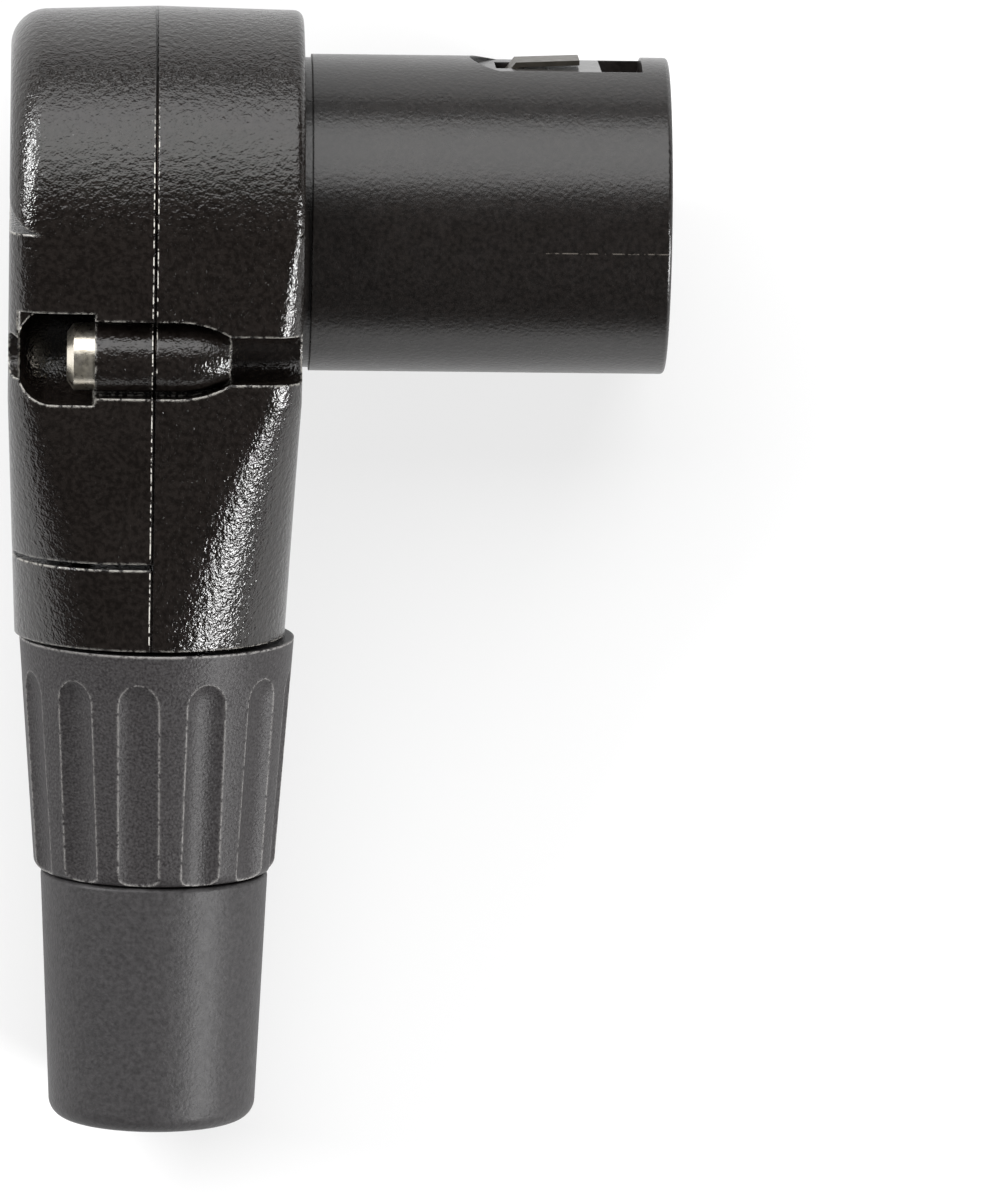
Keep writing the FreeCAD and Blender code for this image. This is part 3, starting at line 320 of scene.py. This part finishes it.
# The marks mix in the lighter grey, which paints glints and highlights into the base colour.
casting.colour(dark_paint, light_paint, patches * 0.4 + speckle.step(0.32, 0.68) * 0.6,
               wear_and_highlights, zinc_and_highlight)
casting.feed("Roughness", 0.13 + 0.1 * casting.noise(1.2, 3.0))
casting.feed("Metallic", (parting_line * 2).clamped())
casting.relief(peel * 0.7 + grain * 0.3 - parting_line + thread * (thread_depth / peel_depth),
               peel_depth, 0.25)
casting.paint("front_housing", "rear_cover")

# Male shell: a thin-walled die-cast barrel under the same black paint, finer and flatter in
# its grain. Its flange is held behind the housing's front wall, and a faint broken line
# along the barrel is left by its mould.
dark_barrel, light_barrel = (0.0022, 0.0016, 0.0013), (0.0080, 0.0064, 0.0057)
mould_mark = (0.09, 0.08, 0.07)
mould_line_place, mould_line_width, mould_line_start = -1.1, 0.05, 21.6
barrel = Finish("black paint on barrel", **{"Specular IOR Level": 0.5})
mould_line = barrel.along(cable_line).ridge(mould_line_place, mould_line_width)
mould_line = mould_line * barrel.noise(0.45).step(0.47, 0.55)
towards_mouth = barrel.along(barrel_line)
mould_line = mould_line * towards_mouth.step(mould_line_start, mould_line_start + 1.0)
barrel.colour(dark_barrel, light_barrel, barrel.noise(0.3, 3.0).step(0.25, 0.75),
              mould_line, mould_mark)
barrel.feed("Roughness", 0.24 + 0.1 * barrel.noise(0.9, 3.0))
barrel.relief(barrel.noise(0.25), 0.022, 0.12)
barrel.paint("male_shell")

# Contact insert: a moulded block of black plastic with three pin holes, which fills the
# back of the shell. Ribs on the cover press it home.
dark_block, light_block = (0.018, 0.018, 0.018), (0.03, 0.03, 0.03)
block = Finish("moulded insert")
block.colour(dark_block, light_block, block.noise(1.5))
block.feed("Roughness", 0.5 + 0.15 * block.noise(0.6))
block.relief(block.noise(0.15), 0.008)
block.paint("contact_insert")

# Contact pins: turned brass, silver plated, with solder cups at the back. The insert holds
# each by a collar on its shank.
dark_plating, light_plating = (0.62, 0.57, 0.46), (0.82, 0.78, 0.70)
plating = Finish("plated contact", Metallic=1.0)
plating.colour(dark_plating, light_plating, plating.noise(2.0, 3.0))
plating.feed("Roughness", 0.16 + 0.14 * plating.noise(0.5, 3.0))
plating.relief(plating.noise(0.12), 0.003)
plating.paint("pin_1", "pin_2", "pin_3")

# Earth strip: sheet brass, blackened with the shell. It lies between the insert and the
# shell, and its sprung leaf rises out of the barrel's flat behind the lock window.
dark_strip, light_strip = (0.05, 0.045, 0.04), (0.12, 0.11, 0.09)
strip = Finish("earth strip", Metallic=1.0)
strip.colour(dark_strip, light_strip, strip.noise(0.8, 3.0))
strip.feed("Roughness", 0.35 + 0.2 * strip.noise(0.5))
strip.relief(strip.noise(0.2), 0.004)
strip.paint("earth_strip")

# Cable chuck: a dark moulded sleeve with four jaws, toothed inside, which the collar hides.
# The collar pushes it into the spigot, so that it grips the cable.
dark_jaws, light_jaws = (0.03, 0.03, 0.031), (0.05, 0.05, 0.052)
jaws = Finish("moulded chuck")
jaws.colour(dark_jaws, light_jaws, jaws.noise(1.0))
jaws.feed("Roughness", 0.5 + 0.1 * jaws.noise(0.5))
jaws.relief(jaws.noise(0.2), 0.006)
jaws.paint("cable_chuck")

# Clamping collar: a dark grey moulded nut on the spigot's thread, with twelve flutes and a
# fine spark-eroded grain. The solid's flutes stand away from where the thread happens to
# stop, so a copy that is turned by the difference takes its place.
stop_turn = math.radians(-15)
same_place = 1e-6
sharp_from = math.radians(20)
dark_nut, light_nut = (0.015, 0.0135, 0.014), (0.040, 0.0378, 0.0385)
# The flute rims' lighter grey is a painted highlight.
flute_rim_highlight, flute_highlight_share = (0.3, 0.29, 0.28), 0.7
moulding = bmesh.new()
moulding.from_mesh(frame["nodes"]["clamp_collar"].data)
bmesh.ops.remove_doubles(moulding, verts=moulding.verts, dist=same_place)
bmesh.ops.rotate(moulding, verts=moulding.verts, cent=heart,
                 matrix=Matrix.Rotation(stop_turn, 3, cable_line))
fluted_collar = add("fluted_collar", bpy.data.meshes.new("fluted_collar"))
moulding.to_mesh(fluted_collar.data)
moulding.free()
fluted_collar.data.attributes.remove(fluted_collar.data.attributes["custom_normal"])
fluted_collar.data.shade_smooth()
fluted_collar.data.set_sharp_from_angle(angle=sharp_from)
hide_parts("clamp_collar")
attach(fluted_collar, "collar")
nut = Finish("moulded collar", **{"Specular IOR Level": 0.16})
# Painted highlights along the flute rims, in a lighter grey base colour.
flute_rims = nut.edges(0.3).step(0.01, 0.07) * nut.noise(0.3).step(0.3, 0.55)
nut.colour(dark_nut, light_nut, nut.noise(0.15, 3.0).step(0.25, 0.75),
           flute_rims * flute_highlight_share, flute_rim_highlight)
nut.feed("Roughness", 0.36 + 0.14 * nut.noise(0.3))
nut.relief(nut.noise(0.16), 0.04, 0.1)
fluted_collar.data.materials.append(nut.material)

# Rubber boot: one soft tapered moulding in dull dark grey, with the cable's hole in its
# end. The collar traps it by its flange.
dark_rubber, light_rubber = (0.019, 0.018, 0.0185), (0.043, 0.041, 0.042)
rubber = Finish("boot rubber", **{"Specular IOR Level": 0.18})
rubber.colour(dark_rubber, light_rubber, rubber.noise(0.3, 4.0, 0.6).step(0.15, 0.85))
rubber.feed("Roughness", 0.4 + 0.14 * rubber.noise(0.6, 3.0))
rubber.relief(rubber.noise(0.2), 0.03)
rubber.paint("cable_boot")

# Cover screws: plated steel with a cross recess, one in the channel of each flank. They
# draw the cover onto the housing.
dark_screw, light_screw = (0.58, 0.52, 0.40), (0.86, 0.82, 0.74)
plated = Finish("plated screw", Metallic=1.0)
plated.colour(dark_screw, light_screw, plated.noise(0.7, 3.0))
plated.feed("Roughness", 0.2 + 0.2 * plated.noise(0.3))
plated.relief(plated.noise(0.15), 0.006)
plated.paint("cover_screw_upper", "cover_screw_lower")

bpy.context.scene.view_settings.view_transform = "Standard"
